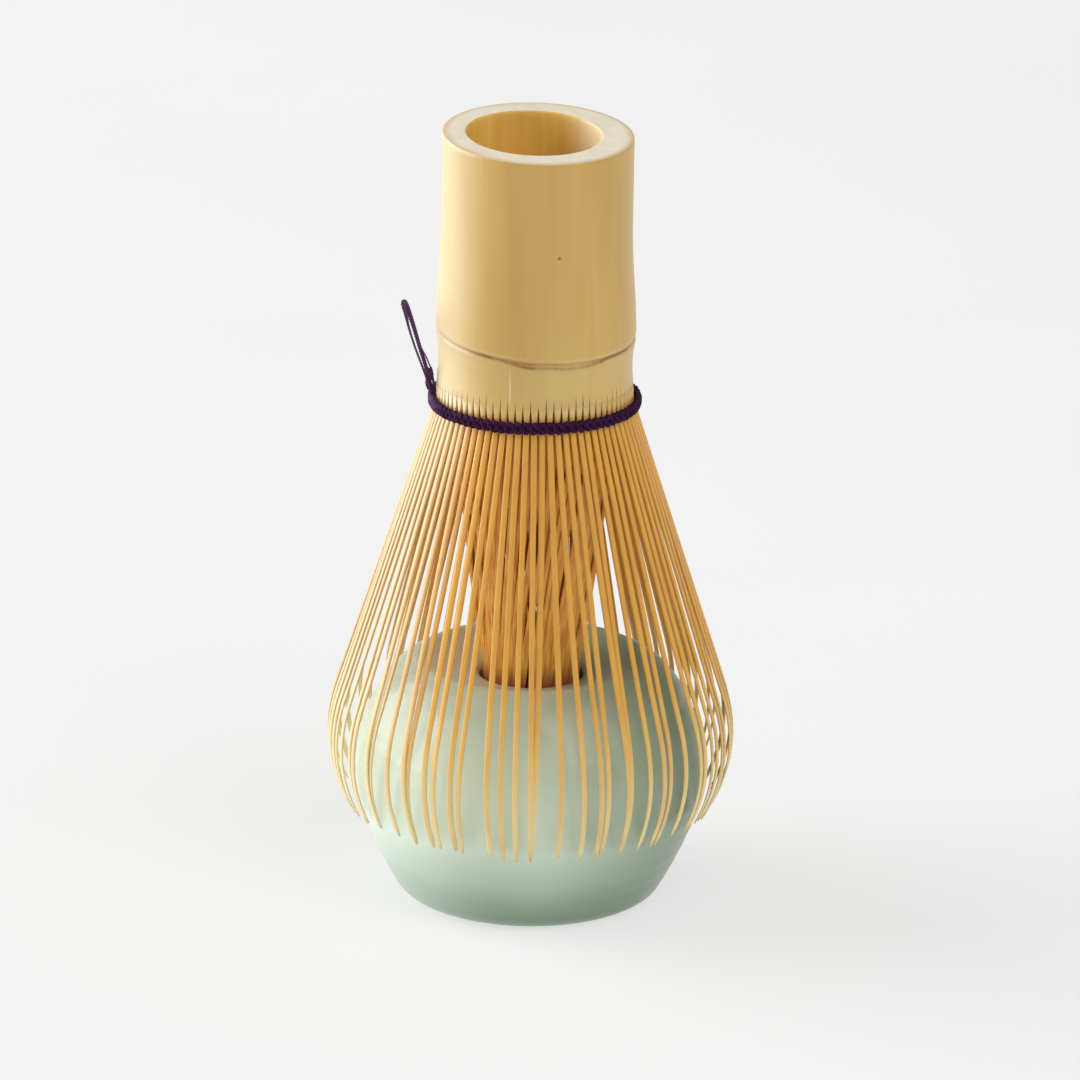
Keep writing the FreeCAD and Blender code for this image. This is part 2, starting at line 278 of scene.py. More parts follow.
loop_rings = laid_thread(loop_line, loop_thickness, swell=loop_swell)
standing_loop = piece("standing_loop", [(loop_rings, 0, True)], [thread_finish])
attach(standing_loop, "whisk")
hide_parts("thread_tail")


# --------------------------------------------------------------------------------------------------
# The knot: the same thread, wound tight round the foot of the loop and drawn down to the binding by two
# strands that leave an eye between them, with one fine end laid up against the loop.
knot_lean = math.tan(math.radians(8.0))
knot_turns = 4.5
coil_low, coil_high, coil_out = 79.6 * MM, 81.3 * MM, 15.52 * MM
coil_depth, coil_width, coil_thickness = 0.48 * MM, 0.62 * MM, 0.44 * MM
knot_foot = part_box("thread_knot")[0].z
coil_steps = 240
coil = []
for i in range(coil_steps + 1):
    share = i / coil_steps
    height = coil_low + (coil_high - coil_low) * share
    swell = 0.70 + 0.30 * math.sin(math.pi * (0.15 + 0.7 * share))
    angle = 2 * math.pi * knot_turns * share
    out = coil_out + (height - coil_low) * knot_lean + coil_depth * swell * math.cos(angle)
    coil.append(turned((out, coil_width * swell * math.sin(angle), height), knot_azimuth))
knot_strands = [
    (0.42 * MM, [(15.42, 0.0, knot_foot / MM), (15.80, 0.1, 78.3), (16.02, 0.1, 79.0), (15.95, 0.1, 79.9)]),
    (0.42 * MM, [(15.22, 0.1, knot_foot / MM), (14.98, 0.3, 78.4), (14.96, 0.3, 79.2), (15.15, 0.2, 80.0)]),
    (0.24 * MM, [(15.10, 0.2, 80.4), (15.45, 0.5, 81.6), (16.10, 0.8, 83.2), (16.85, 1.0, 84.7)]),
]
parts = [(laid_thread(coil, coil_thickness), 0, True)]
for thickness, corners in knot_strands:
    strand_line = [turned([size * MM for size in corner], knot_azimuth) for corner in corners]
    parts.append((laid_thread(strand_line, thickness), 0, True))
knot = piece("knot", parts, [thread_finish])
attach(knot, "whisk")
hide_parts("thread_knot")


# --------------------------------------------------------------------------------------------------
# The binding: two thicker strands of the same purple cotton, twined round the whisk so that they cross
# between every two tines and hold each down by a slanting stitch.  A third strand lies behind the tines.
tine_count = 80
tine_pitch = 2 * math.pi / tine_count
twine_thickness = 1.00 * MM
twine_rise = 0.50 * MM
twine_depth = 0.10 * MM
twine_steps = 1920
uneven_rise, uneven_depth = 0.10 * MM, 0.05 * MM  # how far the hand that tied it has wandered
upper_row, lower_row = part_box("binding_thread_upper"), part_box("binding_thread_lower")
twine_height = (upper_row[1].z + lower_row[0].z) / 2
twine_out = (upper_row[1].x + lower_row[1].x) / 2 - twine_thickness / 2 - 0.02 * MM
for strand, (name, node, phase) in enumerate((("twined_strand_a", "binding_thread_upper", 0.0),
                                              ("twined_strand_b", "binding_thread_lower", math.pi))):
    line = []
    for i in range(twine_steps + 1):
        azimuth = knot_azimuth + 2 * math.pi * i / twine_steps
        wave = azimuth / (2 * tine_pitch) * 2 * math.pi + phase
        uneven = noise.noise(Vector((math.cos(azimuth) * 6, math.sin(azimuth) * 6, 4.0 * strand)))
        rise = twine_rise * math.cos(wave) + uneven_rise * uneven
        out = twine_out + twine_depth * math.sin(wave) + uneven_depth * uneven
        line.append(turned((out, 0.0, twine_height + rise), azimuth))
    twined = piece(name, [(laid_thread(line, twine_thickness, lay=2.3 * MM), 0, True)], [thread_finish])
    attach(twined, "whisk")
    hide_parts(node)
inner_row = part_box("binding_thread_inner")
inner_row_out = inner_row[1].x - 0.42 * MM
inner_row_thickness, inner_row_steps = 0.7 * MM, 480
inner_row_height = (inner_row[0].z + inner_row[1].z) / 2
inner_line = [turned((inner_row_out, 0.0, inner_row_height), 2 * math.pi * i / inner_row_steps)
              for i in range(inner_row_steps + 1)]
inner_thread = laid_thread(inner_line, inner_row_thickness)
inner_strand = piece("inner_strand", [(inner_thread, 0, True)], [thread_finish])
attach(inner_strand, "whisk")
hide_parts("binding_thread_inner")


# --------------------------------------------------------------------------------------------------
# The handle: one length of culm, scraped clean and sawn a little off square, swollen above its node, where a
# thin brown scar runs round it and doubles at the front, and thinned below it to the crown where it is split.
handle_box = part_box("handle")
crown_height = handle_box[0].z
sawn_height = 117.0 * MM
saw_slant = (-0.0275, 0.0612)  # the saw cut's rise per metre towards +X and +Y
node_slant = (0.055, -0.085)  # and the node's fall
node_rise = -0.25 * MM
culm_radius, swell_radius, bore_radius, bore_shift = 14.05 * MM, 14.75 * MM, 9.85 * MM, -0.6 * MM
septum_top, septum_bottom = 88.0 * MM, 85.4 * MM
scar_height = 86.5 * MM
below_node_radius, waist_depth, crown_flare = 14.6 * MM, 0.3 * MM, 0.15 * MM
crown_radius, crown_hollow_radius = 14.45 * MM, 12.4 * MM
culm_around = 288  # points in a ring


def along_steps(points, step):
    """(radius, height) points with straight runs between them cut into steps."""
    cut = []
    for (r0, z0), (r1, z1) in zip(points, points[1:]):
        count = max(1, round(math.hypot(r1 - r0, z1 - z0) / step))
        cut.extend((r0 + (r1 - r0) * k / count, z0 + (z1 - z0) * k / count) for k in range(count))
    cut.append(points[-1])
    return cut


def eased(t):
    """0 to 1, eased at both ends."""
    t = min(1.0, max(0.0, t))
    return t * t * (3 - 2 * t)


def culm_outside(height):
    """The culm's radius at a height: flared above the node, with two low ridges and a groove at it."""
    if height > scar_height:
        flare = eased((105.0 * MM - height) / (17.0 * MM))
        radius = culm_radius + (swell_radius - culm_radius) * flare ** 1.4
        radius -= 0.16 * MM * eased((88.0 * MM - height) / (1.3 * MM))
    else:
        waist = eased((scar_height - height) / (3.2 * MM))
        flare = crown_flare * eased((82.0 * MM - height) / (2.7 * MM))
        radius = below_node_radius - waist_depth * waist + flare
    ridge = (height - scar_height - 1.35 * MM) / (0.45 * MM)
    groove = (height - scar_height - 0.70 * MM) / (0.20 * MM)
    lower_ridge = (height - scar_height) / (0.40 * MM)
    radius += 0.03 * MM * math.exp(-ridge * ridge) + 0.12 * MM * math.exp(-lower_ridge * lower_ridge)
    return radius - 0.07 * MM * math.exp(-groove * groove)


def culm_ring(radius, height, shift=0.0, rough=0.0):
    """A ring about the culm, slanted with the saw cut near the top and a little out of round.

    Where radius is None the ring follows the culm's outside.
    """
    ring = []
    near_cut = eased((height - 100.0 * MM) / (sawn_height - 100.0 * MM))
    above_crown = eased((height - crown_height) / (4.0 * MM))
    for k in range(culm_around):
        azimuth = 2 * math.pi * k / culm_around
        c, s = math.cos(azimuth), math.sin(azimuth)
        wander = noise.noise(Vector((c * 1.3, s * 1.3, height * 30.0)))
        grit = noise.noise(Vector((c * 40.0, s * 40.0, height * 900.0)))
        level = height + above_crown * (culm_radius * (node_slant[0] * c + node_slant[1] * s) + node_rise)
        even = culm_outside(level) if radius is None else radius
        reach = even + 0.05 * MM * wander + rough * grit
        x, y = shift + reach * c, reach * s
        ring.append(Vector((x, y, height + near_cut * (saw_slant[0] * x + saw_slant[1] * y))))
    return ring


inside = [culm_ring(r, z, bore_shift) for r, z in along_steps(
    [(0.05 * MM, septum_top), (9.0 * MM, septum_top + 0.3 * MM), (bore_radius, septum_top + 1.2 * MM),
     (bore_radius, sawn_height - 0.25 * MM)], 1.0 * MM)]
inside.append(culm_ring(bore_radius + 0.07 * MM, sawn_height - 0.08 * MM, bore_shift, 0.04 * MM))
cut_face = [culm_ring(bore_radius + 0.25 * MM, sawn_height, bore_shift, 0.05 * MM)]
for i in range(1, 10):
    part = i / 10
    reach = bore_radius + 0.25 * MM + (culm_radius - bore_radius - 0.5 * MM) * part
    cut_face.append(culm_ring(reach, sawn_height, bore_shift * (1 - part)))
cut_face.append(culm_ring(culm_radius - 0.25 * MM, sawn_height, 0.0, 0.03 * MM))
outside = [culm_ring(culm_radius - 0.08 * MM, sawn_height - 0.07 * MM, 0.0, 0.03 * MM)]
height = sawn_height - 0.25 * MM
while height > crown_height:
    outside.append(culm_ring(None, height))
    height -= 0.12 * MM if abs(height - scar_height) < 2.6 * MM else 0.6 * MM
outside.append(culm_ring(None, crown_height))
underside = [culm_ring(r, z) for r, z in along_steps(
    [(crown_radius, crown_height), (crown_hollow_radius, crown_height), (crown_hollow_radius, 82.0 * MM),
     (bore_radius, septum_bottom), (0.05 * MM, septum_bottom)], 0.7 * MM)]


def around_axis(nodes, link, turns):
    """The azimuth about the whisk's axis, growing by that much in one turn, and the height, as sockets."""
    place = nodes.new("ShaderNodeTexCoord")
    apart = nodes.new("ShaderNodeSeparateXYZ")
    angle = nodes.new("ShaderNodeMath")
    angle.operation = "ARCTAN2"
    scaled = nodes.new("ShaderNodeMath")
    scaled.operation = "MULTIPLY"
    scaled.inputs[1].default_value = turns / (2 * math.pi)
    link(place.outputs["Object"], apart.inputs["Vector"])
    link(apart.outputs["Y"], angle.inputs[0])
    link(apart.outputs["X"], angle.inputs[1])
    link(angle.outputs[0], scaled.inputs[0])
    return scaled.outputs[0], apart.outputs["Z"]


def reckon(nodes, link, operation, *values):
    """One step of arithmetic on sockets and numbers."""
    made = nodes.new("ShaderNodeMath")
    made.operation = operation
    for socket, value in zip(made.inputs, values):
        if isinstance(value, (int, float)):
            socket.default_value = value
        else:
            link(value, socket)
    return made.outputs[0]


def near_line(nodes, link, height, line, width, strength):
    """That strength on a line at one height, falling to nothing a width away."""
    off = reckon(nodes, link, "ABSOLUTE", reckon(nodes, link, "SUBTRACT", height, line))
    return span(nodes, link, off, 0.0, width, strength, 0.0)


def slanted_height(nodes, link, slant):
    """The height above a slanted plane through the frame's origin."""
    place = nodes.new("ShaderNodeTexCoord")
    dot = nodes.new("ShaderNodeVectorMath")
    dot.operation = "DOT_PRODUCT"
    dot.inputs[1].default_value = slant
    link(place.outputs["Object"], dot.inputs[0])
    return dot.outputs["Value"]


def painted_light_by_side(nodes, link, colour, pale, most, start=0.45, end=1.0):
    """Painted light and shade: a colour that goes over to a second one towards the side that faces -X, the
    side the window lights (start, end: cosines from -X).
    """
    place = nodes.new("ShaderNodeTexCoord")
    flat = nodes.new("ShaderNodeVectorMath")
    flat.operation = "MULTIPLY"
    flat.inputs[1].default_value = (1.0, 1.0, 0.0)
    outwards = nodes.new("ShaderNodeVectorMath")
    outwards.operation = "NORMALIZE"
    towards = nodes.new("ShaderNodeVectorMath")
    towards.operation = "DOT_PRODUCT"
    towards.inputs[1].default_value = (-1.0, 0.0, 0.0)
    link(place.outputs["Object"], flat.inputs[0])
    link(flat.outputs["Vector"], outwards.inputs[0])
    link(outwards.outputs["Vector"], towards.inputs[0])
    amount = span(nodes, link, towards.outputs["Value"], start, end, 0.0, most)
    return blended(nodes, link, amount, colour, pale)


skin_finish, nodes, link, shader = new_finish("culm_skin")
fibre = mottle(nodes, link, 900.0, 3.0, (1.0, 1.0, 0.02))
broad = mottle(nodes, link, 80.0, 3.0, (1.0, 1.0, 0.15))
culm_pitches, height_socket = around_axis(nodes, link, tine_count)
skin_colour = ramp(nodes, link, broad, [(0.3, (0.54, 0.330, 0.075)), (0.5, (0.62, 0.395, 0.100)),
                                        (0.7, (0.69, 0.46, 0.135))])
streaks = span(nodes, link, fibre, 0.35, 0.7)
streaks = reckon(nodes, link, "MULTIPLY", streaks, 0.16)
skin_colour = blended(nodes, link, streaks, skin_colour, (0.47, 0.27, 0.07))
below_node = span(nodes, link, height_socket, scar_height - 1.0 * MM, scar_height + 0.5 * MM, 0.22, 0.0)
skin_colour = blended(nodes, link, below_node, skin_colour, (0.72, 0.56, 0.27))
ragged = mottle(nodes, link, 260.0, 3.0, (1.0, 1.0, 0.4))
node_level = slanted_height(nodes, link, (*node_slant, 1.0))
node_level = reckon(nodes, link, "MULTIPLY_ADD", ragged, 0.0005, node_level)
scar_line = scar_height + 0.70 * MM + 0.25 * MM - node_rise
scar_front = slanted_height(nodes, link, (math.sin(math.radians(13.0)), -math.cos(math.radians(13.0)), 0.0))
sagging = span(nodes, link, scar_front, below_node_radius * math.cos(math.radians(38.0)),
               below_node_radius * math.cos(math.radians(8.0)), 0.0, 0.55 * MM)
broken = span(nodes, link, mottle(nodes, link, 420.0, 2.0, (1.0, 1.0, 0.2)), 0.25, 0.6, 0.35, 1.0)
sagging_level = reckon(nodes, link, "ADD", node_level, sagging)
for level, width, strength in ((node_level, 0.38 * MM, 0.72), (sagging_level, 0.46 * MM, 0.85)):
    scar = reckon(nodes, link, "MULTIPLY", near_line(nodes, link, level, scar_line, width, strength), broken)
    skin_colour = blended(nodes, link, scar, skin_colour, (0.23, 0.095, 0.018))
# Painted highlight: a pale line just above the scar, where the ridge there catches the light.
painted_highlight_line = near_line(nodes, link, node_level, scar_line + 0.60 * MM, 0.30 * MM, 0.18)
skin_colour = blended(nodes, link, painted_highlight_line, skin_colour, (0.80, 0.66, 0.40))
nick_side = slanted_height(nodes, link, (math.cos(math.radians(-14.6)), math.sin(math.radians(-14.6)), 0.0))
nick = reckon(nodes, link, "MULTIPLY", near_line(nodes, link, nick_side, 0.0, 0.13 * MM, 0.75),
              near_line(nodes, link, height_socket, 81.0 * MM, 6.0 * MM, 1.3))
nick = reckon(nodes, link, "MULTIPLY", nick, span(nodes, link, scar_front, 0.0, 10.0 * MM))
skin_colour = blended(nodes, link, nick, skin_colour, (0.90, 0.78, 0.42))
by_the_splits = span(nodes, link, height_socket, crown_height, crown_height + 2.2 * MM, 0.9, 0.0)
skin_colour = blended(nodes, link, by_the_splits, skin_colour, (0.65, 0.43, 0.135))
# Painted light: the skin is painted paler towards -X, where the window light falls.
skin_colour = painted_light_by_side(nodes, link, skin_colour, (0.84, 0.74, 0.50), 0.55)
# Painted shade: dark lines run up from the crown where the splits go on into the skin, standing in for the
# shade inside the cracks.
to_crack = reckon(nodes, link, "ABSOLUTE", reckon(nodes, link, "SUBTRACT", reckon(
    nodes, link, "FRACT", culm_pitches), 0.5))
crack_top = reckon(nodes, link, "MULTIPLY_ADD", mottle(nodes, link, 500.0, 1.0, (1.0, 1.0, 0.01)), 0.0032,
                   crown_height - 0.3 * MM)
above = reckon(nodes, link, "SUBTRACT", crack_top, height_socket)
crack_reach = reckon(nodes, link, "MULTIPLY", reckon(nodes, link, "MAXIMUM", above, 0.0), 55.0)
painted_crack_shade = reckon(nodes, link, "LESS_THAN", to_crack, crack_reach)
painted_crack_shade = reckon(nodes, link, "MULTIPLY", painted_crack_shade, 0.85)
skin_colour = blended(nodes, link, painted_crack_shade, skin_colour, (0.13, 0.045, 0.02))
specks = (  # degrees round from the front, then height and size in millimetres, and colour
    (13.6, 102.0, 0.22, (0.17, 0.075, 0.025)),
    (44.0, 91.6, 0.28, (0.30, 0.20, 0.12)),
    (42.0, 91.9, 0.22, (0.85, 0.78, 0.60)),
)
for angle, height, size, tint in specks:
    spot = nodes.new("ShaderNodeVectorMath")
    spot.operation = "DISTANCE"
    spot.inputs[1].default_value = turned((culm_radius, 0.0, height * MM), math.radians(angle - 90.0))
    link(nodes.new("ShaderNodeTexCoord").outputs["Object"], spot.inputs[0])
    speck = span(nodes, link, spot.outputs["Value"], size * 0.3 * MM, size * 1.7 * MM, 0.9, 0.0)
    skin_colour = blended(nodes, link, speck, skin_colour, tint)
link(skin_colour, shader.inputs["Base Color"])
link(span(nodes, link, broad, 0.2, 0.8, 0.34, 0.46), shader.inputs["Roughness"])
bump(nodes, link, shader, fibre, 0.00005, 0.4)
shader.inputs["Coat Weight"].default_value = 0.15
shader.inputs["Coat Roughness"].default_value = 0.30

grain_finish, nodes, link, shader = new_finish("culm_end_grain")
pores = nodes.new("ShaderNodeTexVoronoi")
pores.inputs["Scale"].default_value = 1500.0
place = nodes.new("ShaderNodeTexCoord")
link(place.outputs["Object"], pores.inputs["Vector"])
pore = span(nodes, link, pores.outputs["Distance"], 0.10, 0.40, 0.16, 0.0)
end_colour = ramp(nodes, link, mottle(nodes, link, 300.0, 3.0), [(0.3, (0.82, 0.74, 0.57)),
                                                                (0.7, (0.90, 0.84, 0.68))])
flat = nodes.new("ShaderNodeVectorMath")
flat.operation = "MULTIPLY"
flat.inputs[1].default_value = (1.0, 1.0, 0.0)
off_axis = nodes.new("ShaderNodeVectorMath")
off_axis.operation = "LENGTH"
link(place.outputs["Object"], flat.inputs[0])
link(flat.outputs["Vector"], off_axis.inputs[0])
by_the_skin = span(nodes, link, off_axis.outputs["Value"], 12.6 * MM, 14.0 * MM, 0.0, 0.85)
end_colour = blended(nodes, link, by_the_skin, end_colour, (0.70, 0.52, 0.30))
end_colour = blended(nodes, link, pore, end_colour, (0.42, 0.31, 0.17))
link(end_colour, shader.inputs["Base Color"])
saw_marks = mottle(nodes, link, 900.0, 2.0, (0.05, 1.0, 1.0))
bump(nodes, link, shader, saw_marks, 0.00008, 0.6)
shader.inputs["Roughness"].default_value = 0.62

bore_finish, nodes, link, shader = new_finish("culm_bore")
bore_grain = mottle(nodes, link, 500.0, 3.0, (1.0, 1.0, 0.04))
bore_colour = ramp(nodes, link, bore_grain, [(0.3, (0.75, 0.43, 0.080)), (0.7, (0.85, 0.54, 0.12))])
# Painted light: the bore's wall on the +X side, which faces the window on the left, is painted paler.
bore_colour = painted_light_by_side(nodes, link, bore_colour, (0.93, 0.82, 0.58), 0.75, -0.30, -0.98)
link(bore_colour, shader.inputs["Base Color"])
bump(nodes, link, shader, bore_grain, 0.0001, 0.5)
shader.inputs["Roughness"].default_value = 0.5

handle = piece("culm_handle", [(inside + cut_face[:1], 2, False), (cut_face + outside[:1], 1, False),
                               (outside, 0, False), (underside, 1, False)],
               [skin_finish, grain_finish, bore_finish])
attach(handle, "whisk")
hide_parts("handle")


# --------------------------------------------------------------------------------------------------
# The outer tines: the culm's wall split into sixteen sections and each section into five, shaved thin, flared
# out over the holder, and steamed into a curl at the tips.  No two have kept quite the same way.
flare_end, belly_height, tip_height = 32.0 * MM, 24.8 * MM, 13.2 * MM
root_out, thread_out = crown_radius, 14.6 * MM
flare_out, belly_out, tip_out = 29.15 * MM, 30.3 * MM, 26.65 * MM
thread_height = 76.5 * MM
tines_per_section = 5
section_count = tine_count // tines_per_section
tine_top = crown_height + 0.05 * MM
pinch_height = 77.3 * MM  # where the thread pulls the tines apart most
tine_steps = 44
random.seed(16)
strays = [random.gauss(0.0, 1.9) for _ in range(tine_count)]  # degrees round the axis, at the tip
lifts = [random.uniform(-1.0, 0.6) for _ in range(tine_count)]
front_tine = 60
front_strays = (1.5, -3.0, 1.2, 3.4, -1.1, 1.0, -1.2, -0.3, -2.7, 2.0, 1.2, 0.7, 0.6, -3.9, 0.0, 2.6, 3.4,
                0.3, 2.7, -1.8, 0.3, 1.0, -1.8, 0.6, 3.6, 1.5)
for i, stray in enumerate(front_strays):
    strays[(front_tine - 12 + i) % tine_count] = stray
tucked = [front_tine + i for i in (-11, -8, 1, 7)]  # tines that lie behind their neighbours
tuck_depth = 0.42 * MM
rolls = [random.gauss(0.0, 1.0) for _ in range(tine_count)]
curls = [random.uniform(0.0, 1.0) for _ in range(tine_count)]
slimness = [random.uniform(0.88, 1.06) for _ in range(tine_count)]


def tine_out(height):
    """The distance from the axis of an outer tine's outside face at a height."""
    if height > thread_height:
        t = (crown_height - height) / (crown_height - thread_height)
        return root_out + (thread_out - root_out) * t * t
    if height > flare_end:
        return thread_out + (flare_out - thread_out) * (thread_height - height) / (thread_height - flare_end)
    if height > belly_height:
        t = (height - belly_height) / (flare_end - belly_height)
        return belly_out - (belly_out - flare_out) * t * t
    curl = (belly_height - height) / (belly_height - tip_height)
    return belly_out - (belly_out - tip_out) * curl * curl


def strip(line, widths, thicknesses, roll, flats=None):
    """Rings of a thin strip along a line: flat inside, and rounded outside except where flats says not."""
    rings = []
    for i, here in enumerate(line):
        along = (line[min(i + 1, len(line) - 1)] - line[max(i - 1, 0)]).normalized()
        outward = Vector((here.x, here.y, 0.0)).normalized()
        across = along.cross(outward).normalized()
        face = across.cross(along).normalized()
        turn = roll * i / (len(line) - 1)
        c, s = math.cos(turn), math.sin(turn)
        w = across * c + face * s
        f = face * c - across * s
        q = 1.0 - (flats[i] if flats else 0.0)
        half = [(0.5, -0.5), (0.5, 0.485 - 0.285 * q), (0.493 - 0.053 * q, 0.5 - 0.12 * q),
                (0.47 - 0.17 * q, 0.5), (0.43 - 0.23 * q, 0.5 + 0.04 * q)]
        section = [(-a, b) for a, b in half] + [(0.0, 0.5 + 0.06 * q)] + half[::-1]
        rings.append([here + w * (a * widths[i]) + f * (b * thicknesses[i]) for a, b in section])
    return rings


tine_finish, nodes, link, shader = new_finish("outer_tine_bamboo")
_, height_socket = around_axis(nodes, link, tine_count)
each_tine = mottle(nodes, link, 420.0, 1.0, (1.0, 1.0, 0.03))
tine_grain = mottle(nodes, link, 2600.0, 2.0, (1.0, 1.0, 0.03))
along_tine = span(nodes, link, height_socket, tip_height, crown_height)
tine_colour = ramp(nodes, link, along_tine, [(0.0, (0.88, 0.74, 0.36)), (0.12, (0.84, 0.60, 0.20)),
                                             (0.35, (0.80, 0.43, 0.060)), (1.0, (0.78, 0.40, 0.052))])
tone = span(nodes, link, each_tine, 0.3, 0.7)
tone = reckon(nodes, link, "MULTIPLY", tone, 0.35)
tine_colour = blended(nodes, link, tone, tine_colour, (0.60, 0.29, 0.06))
tine_colour = blended(nodes, link, reckon(nodes, link, "MULTIPLY", tine_grain, 0.22), tine_colour,
                      (0.46, 0.20, 0.045))
still_skin = span(nodes, link, height_socket, 76.8 * MM, 78.2 * MM)
tine_colour = blended(nodes, link, still_skin, tine_colour, (0.65, 0.43, 0.135))
# Painted light: the tines are painted paler towards -X, where the window light falls.
tine_colour = painted_light_by_side(nodes, link, tine_colour, (0.86, 0.77, 0.54), 0.50)
link(tine_colour, shader.inputs["Base Color"])
bump(nodes, link, shader, tine_grain, 0.00003, 0.5)
shader.inputs["Subsurface Weight"].default_value = 0.18
shader.inputs["Subsurface Radius"].default_value = (1.0, 0.45, 0.15)
shader.inputs["Subsurface Scale"].default_value = 0.0006
shader.inputs["Roughness"].default_value = 0.38
shader.inputs["Coat Weight"].default_value = 0.15
shader.inputs["Coat Roughness"].default_value = 0.3

for section in range(section_count):
    parts = []
    for within in range(tines_per_section):
        number = section * tines_per_section + within
        azimuth_at_root = number * tine_pitch
        end_height = tip_height + (0.2 + 0.9 * curls[number] + 0.9 * abs(math.cos(azimuth_at_root))) * MM
        line, widths, thicknesses, flats = [], [], [], []
        for i in range(tine_steps + 1):
            share = i / tine_steps
            height = tine_top - (tine_top - end_height) * share ** 0.92
            free = max(0.0, (thread_height - height) / (thread_height - tip_height))
            root = eased((height - pinch_height) / (crown_height - pinch_height))
            pinch = eased((height - pinch_height) / (2.1 * MM) + 1) * (1 - root)
            thickness = (0.5 - 0.30 * free) * MM
            out = tine_out(height) - thickness / 2 + 0.25 * MM * lifts[number] * free * (1 - 0.75 * free)
            out += 0.05 * MM * root * noise.noise(Vector((math.cos(azimuth_at_root) * 1.3,
                                                          math.sin(azimuth_at_root) * 1.3, height * 30.0)))
            if number in tucked:
                out -= tuck_depth * max(0.0, math.sin(math.pi * min(1.0, free))) ** 0.6
            stray = math.radians(strays[number]) * free ** 1.2
            line.append(turned((out, 0.0, height), azimuth_at_root + stray))
            end = min(1.0, max(0.0, (height - end_height) / (0.9 * MM)))
            blunt = 0.45 + 0.55 * math.sqrt(1 - (1 - end) ** 2)
            slim = 1 + (slimness[number] - 1) * eased(free * 3)
            widths.append((0.92 + 0.14 * root - 0.16 * pinch - 0.12 * free) * slim * blunt * MM)
            thicknesses.append(thickness)
            flats.append(root)
        parts.append((strip(line, widths, thicknesses, math.radians(9.0) * rolls[number], flats), 0, True))
    tines = piece(f"outer_section_{section + 1:02d}", parts, [tine_finish])
    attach(tines, "whisk")
    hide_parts(f"outer_tines_{section + 1:02d}")


# --------------------------------------------------------------------------------------------------
# The inner tines: the inner halves of the same splits, bent in behind the thread and gathered with a twist
# into a neck that goes down through the holder's mouth.
inner_tip_height, neck_height = 26.0 * MM, 36.0 * MM
inner_root_out, inner_thread_out, neck_out, inner_tip_out = 13.2 * MM, 12.3 * MM, 7.35 * MM, 6.8 * MM
inner_steps = 30
gather_twist = math.radians(-32.0)
inner_strays = [random.gauss(0.0, 1.0) for _ in range(tine_count)]
inner_bows = [random.gauss(0.0, 1.0) for _ in range(tine_count)]


def inner_out(height):
    """The distance from the axis of an inner tine's outside face at a height."""
    if height > thread_height:
        t = (height - thread_height) / (crown_height - thread_height)
        return inner_thread_out + (inner_root_out - inner_thread_out) * t
    if height > neck_height:
        t = (thread_height - height) / (thread_height - neck_height)
        return inner_thread_out + (neck_out - inner_thread_out) * t ** 1.1
    t = (height - inner_tip_height) / (neck_height - inner_tip_height)
    return inner_tip_out + (neck_out - inner_tip_out) * t


inner_finish, nodes, link, shader = new_finish("inner_tine_bamboo")
_, height_socket = around_axis(nodes, link, tine_count)
inner_grain = mottle(nodes, link, 1900.0, 2.0, (1.0, 1.0, 0.03))
inner_colour = ramp(nodes, link, inner_grain, [(0.36, (0.76, 0.29, 0.028)), (0.64, (0.95, 0.54, 0.095))])
# Painted shade: the inner tines are painted dark red where they go down into the holder's mouth.
painted_shade_at_mouth = near_line(nodes, link, height_socket, 34.0 * MM, 3.6 * MM, 0.80)
inner_colour = blended(nodes, link, painted_shade_at_mouth, inner_colour, (0.36, 0.07, 0.035))
link(inner_colour, shader.inputs["Base Color"])
bump(nodes, link, shader, inner_grain, 0.00004, 0.5)
shader.inputs["Roughness"].default_value = 0.45

for section in range(section_count):
    parts = []
    for within in range(tines_per_section):
        number = section * tines_per_section + within
        line, widths, thicknesses = [], [], []
        for i in range(inner_steps + 1):
            part = i / inner_steps
            height = crown_height - (crown_height - inner_tip_height) * part
            free = max(0.0, (thread_height - height) / (thread_height - inner_tip_height))
            bow = math.sin(math.pi * min(1.0, free * 1.25)) * inner_bows[number]
            out = inner_out(height) - 0.22 * MM + 0.30 * MM * bow
            swing = gather_twist * free ** 1.4 + math.radians(1.7 * bow + inner_strays[number])
            line.append(turned((out, 0.0, height), number * tine_pitch + swing))
            widths.append((0.82 - 0.16 * free) * MM)
            thicknesses.append(0.42 * MM)
        parts.append((strip(line, widths, thicknesses, 0.0), 0, True))
    tines = piece(f"inner_section_{section + 1:02d}", parts, [inner_finish])
    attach(tines, "whisk")
    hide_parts(f"inner_tines_{section + 1:02d}")


# --------------------------------------------------------------------------------------------------
# The whisk holder: a small closed pot thrown in pale stoneware, its crown dished down to a round mouth, and
# dipped in a grey-green celadon glaze over all but its foot ring; the glaze is painted paler towards -X and
# darker towards +X, painted light and shade from the window on the left.
pot_glazed = [  # (outwards, height, radius of the curve that leaves the point), from the foot to the mouth
    (17.55, 0.05, 4.2), (20.3, 2.4, 75.0), (25.45, 13.6, 21.0), (26.05, 18.8, 21.0), (23.15, 30.2, 11.5),
    (17.0, 36.4, 3.0), (15.2, 36.15, None), (8.4, 34.2, 1.0), (7.6, 33.5, None), (7.6, 31.4, None),
]
pot_inside = [
    (7.6, 31.4, None), (16.6, 33.0, None), (21.4, 27.6, 16.0), (22.9, 18.8, 26.0), (22.2, 13.6, 20.0),
    (16.6, 4.0, None), (0.05, 4.0, None),
]
pot_foot = [
    (0.05, 1.1, None), (14.4, 1.1, None), (14.5, 0.15, None), (14.7, 0.0, None), (17.4, 0.0, None),
    (17.55, 0.05, None),
]


